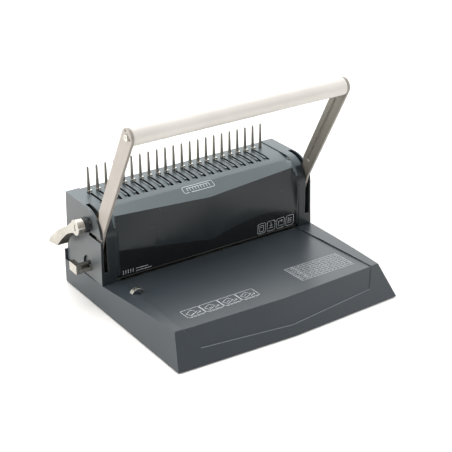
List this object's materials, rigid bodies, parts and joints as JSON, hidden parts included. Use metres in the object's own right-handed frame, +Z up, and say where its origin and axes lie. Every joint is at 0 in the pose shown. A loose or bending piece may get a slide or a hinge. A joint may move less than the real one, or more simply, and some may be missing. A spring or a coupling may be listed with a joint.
{
  "type": "comb binding machine",
  "caption": "Desktop comb binder: flared base with paper deck, punching handle over a curved casing, row of upright tines and hooks, side lever that opens combs, margin knob.",
  "frame": {"origin": "on the table under the middle of the base, at the bottom of the centre foot", "axes": "+X to the user's right along the tines, +Y from the paper deck to the back, +Z up"},
  "size_m": [0.4031, 0.3165, 0.2996],
  "materials": {
    "charcoal_plastic": "satin, fine grain",
    "black_plastic": "matte",
    "rubber": "matte",
    "handle_paint": "satin off-white paint",
    "black_paint": "satin black paint",
    "nickel": "bright nickel plate",
    "steel": "ground steel",
    "zinc_steel": "zinc plated",
    "brass": "turned"
  },
  "bodies": {
    "chassis": {"base_shell": "charcoal_plastic", "bottom_plate": "black_paint", "rubber_feet": "rubber", "standoffs": "zinc_steel", "left_end_cover": "charcoal_plastic", "right_end_cover": "charcoal_plastic", "centre_cover": "charcoal_plastic", "rear_panel": "charcoal_plastic", "rear_screws": "zinc_steel", "chassis_plate": "zinc_steel", "left_frame": "zinc_steel", "right_frame": "zinc_steel", "rear_tie_bar": "zinc_steel", "main_bushes": "brass", "comb_bushes": "brass", "idler_pins": "steel", "tine_strip": "nickel", "tines": "nickel", "lower_die": "steel", "punch_guide": "steel", "die_blocks": "steel", "gauge_arch": "nickel"},
    "handle": {"main_shaft": "steel", "left_sector_gear": "steel", "right_sector_gear": "steel", "left_handle_arm": "handle_paint", "right_handle_arm": "handle_paint", "handle_bar": "handle_paint", "bar_plugs": "black_plastic", "handle_screws": "nickel"},
    "punch": {"punch_bar": "steel", "left_punch_rack": "steel", "right_punch_rack": "steel", "punch_pins": "steel"},
    "comb_lever": {"comb_shaft": "steel", "left_comb_pinion": "steel", "right_comb_pinion": "steel", "lever_hub": "nickel", "hub_collar": "black_paint", "comb_lever": "nickel"},
    "idlers": {"left_idler_gear": "steel", "right_idler_gear": "steel"},
    "hook_slide": {"hook_plate": "nickel", "hooks": "nickel", "left_hook_rack": "steel", "right_hook_rack": "steel"},
    "margin_knob": {"margin_knob": "nickel", "margin_shaft": "steel", "margin_cams": "steel"},
    "margin_stop": {"margin_stop": "zinc_steel"},
    "waste_tray": {"waste_tray": "black_plastic"}
  },
  "joints": [
    {"name": "handle_pull", "type": "hinge", "parent": "chassis", "child": "handle", "pos_m": [0, 0.0796, 0.0689], "axis": [1, 0, 0], "range_deg": [-14, 60]},
    {"name": "punch_stroke", "type": "slide", "parent": "chassis", "child": "punch", "axis": [0, 0, 1], "range_m": [-0.0142, 0.0034]},
    {"name": "comb_lever_turn", "type": "hinge", "parent": "chassis", "child": "comb_lever", "pos_m": [0, 0.087, 0.1215], "axis": [1, 0, 0], "range_deg": [0, 92]},
    {"name": "idler_turn", "type": "hinge", "parent": "chassis", "child": "idlers", "pos_m": [0, 0.1155, 0.1215], "axis": [1, 0, 0], "range_deg": [-103, 0]},
    {"name": "hook_travel", "type": "slide", "parent": "chassis", "child": "hook_slide", "axis": [0, -1, 0], "range_m": [0, 0.0242]},
    {"name": "margin_knob_turn", "type": "hinge", "parent": "chassis", "child": "margin_knob", "pos_m": [0, 0.091, 0.0595], "axis": [1, 0, 0], "range_deg": [-90, 90]},
    {"name": "margin_stop_travel", "type": "slide", "parent": "chassis", "child": "margin_stop", "axis": [0, -1, 0], "range_m": [-0.00199, 0.00199]},
    {"name": "waste_tray_pull", "type": "slide", "parent": "chassis", "child": "waste_tray", "axis": [1, 0, 0], "range_m": [0, 0.3]}
  ],
  "couplings": [
    {"joint": "punch_stroke", "follows": "handle_pull", "m_per_rad": -0.0135},
    {"joint": "idler_turn", "follows": "comb_lever_turn", "ratio": -1.1111},
    {"joint": "hook_travel", "follows": "comb_lever_turn", "m_per_rad": 0.015},
    {"joint": "margin_knob_turn", "follows": "margin_stop_travel", "rad_per_m": 785.4}
  ]
}
